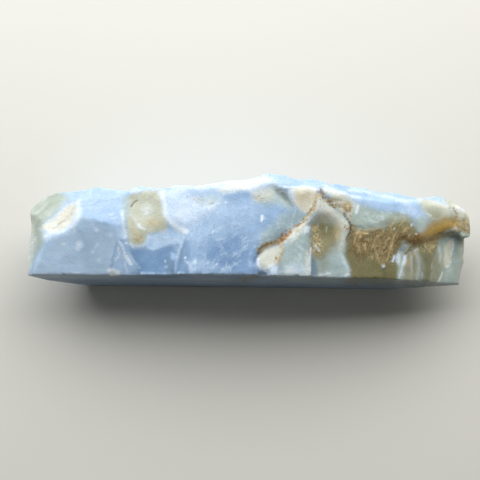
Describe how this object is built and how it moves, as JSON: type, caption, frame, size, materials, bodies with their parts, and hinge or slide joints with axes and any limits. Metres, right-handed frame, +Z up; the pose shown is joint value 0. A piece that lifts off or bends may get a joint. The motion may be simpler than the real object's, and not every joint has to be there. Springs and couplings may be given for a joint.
{
  "type": "blue opal",
  "caption": "Rough bar of blue common opal, sawn flat on its base and one long side and broken on its top, back and ends.",
  "frame": {"origin": "middle of the bounding box's underside, in the plane of the sawn base", "axes": "+X along the bar, towards the end with the brown ledge; -Y out of the sawn side face; +Z up, out of the broken top"},
  "size_m": [0.0654, 0.0152, 0.016],
  "materials": {
    "opal": "satin"
  },
  "bodies": {
    "root": {"blue_opal": "opal"}
  },
  "joints": []
}
